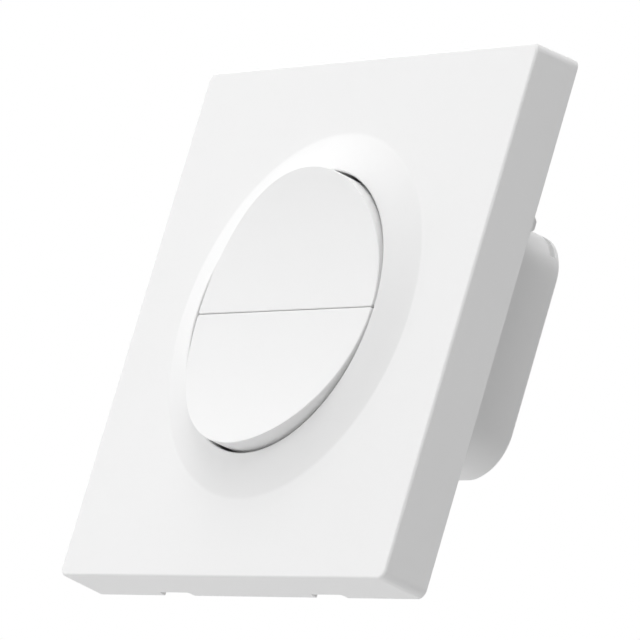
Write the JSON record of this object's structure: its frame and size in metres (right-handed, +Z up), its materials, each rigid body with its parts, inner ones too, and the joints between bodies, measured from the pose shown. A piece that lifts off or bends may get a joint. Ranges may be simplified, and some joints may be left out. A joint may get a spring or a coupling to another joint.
{
  "type": "wireless remote wall switch",
  "caption": "Square white wall switch with a raised conical ring round two dished half-round rockers and a battery and radio housing behind it.",
  "frame": {"origin": "centre of the cover plate's back plane, which lies on the wall, and centre of the box screws' pattern", "axes": "+X right as seen from the room, +Y into the wall, +Z up"},
  "size_m": [0.086, 0.0341, 0.086],
  "materials": {
    "white_shell": "fine satin moulding",
    "inner_plastic": "plain moulded",
    "plated_steel": "zinc or tin plated",
    "spring_metal": "nickel plated spring bronze",
    "board_laminate": "solder mask",
    "module_laminate": "solder mask",
    "cell_wrap": "shrink sleeve",
    "switch_black": "moulded",
    "stem_plastic": "moulded"
  },
  "bodies": {
    "base": {"battery_cell": "cell_wrap", "battery_holder": "inner_plastic", "carrier_screws": "plated_steel", "face_plate": "white_shell", "lower_switch_base": "switch_black", "lower_switch_cover": "plated_steel", "lower_switch_dome": "spring_metal", "module_housing": "white_shell", "mounting_frame": "inner_plastic", "negative_contact": "spring_metal", "positive_contact": "spring_metal", "radio_board": "module_laminate", "rear_cover": "white_shell", "rocker_carrier": "inner_plastic", "shield_can": "plated_steel", "switch_board": "board_laminate", "upper_switch_base": "switch_black", "upper_switch_cover": "plated_steel", "upper_switch_dome": "spring_metal"},
    "upper_rocker": {"upper_rocker": "white_shell"},
    "lower_rocker": {"lower_rocker": "white_shell"},
    "upper_stem": {"upper_switch_stem": "stem_plastic"},
    "lower_stem": {"lower_switch_stem": "stem_plastic"}
  },
  "joints": [
    {"name": "upper_rocker_tilt", "type": "hinge", "parent": "base", "child": "upper_rocker", "pos_m": [0, -0.0065, 0.0036], "axis": [-1, 0, 0], "range_deg": [0, 1.8], "stiffness_Nm_per_rad": 0.5},
    {"name": "upper_stem_travel", "type": "slide", "parent": "base", "child": "upper_stem", "axis": [0, 1, 0], "range_m": [0, 0.00027], "deforming": ["upper_switch_dome"]},
    {"name": "lower_rocker_tilt", "type": "hinge", "parent": "base", "child": "lower_rocker", "pos_m": [0, -0.0065, -0.0036], "axis": [1, 0, 0], "range_deg": [0, 1.8], "stiffness_Nm_per_rad": 0.5},
    {"name": "lower_stem_travel", "type": "slide", "parent": "base", "child": "lower_stem", "axis": [0, 1, 0], "range_m": [0, 0.00027], "deforming": ["lower_switch_dome"]}
  ],
  "couplings": [
    {"joint": "upper_stem_travel", "follows": "upper_rocker_tilt", "m_per_rad": 0.0084},
    {"joint": "lower_stem_travel", "follows": "lower_rocker_tilt", "m_per_rad": 0.0084}
  ]
}
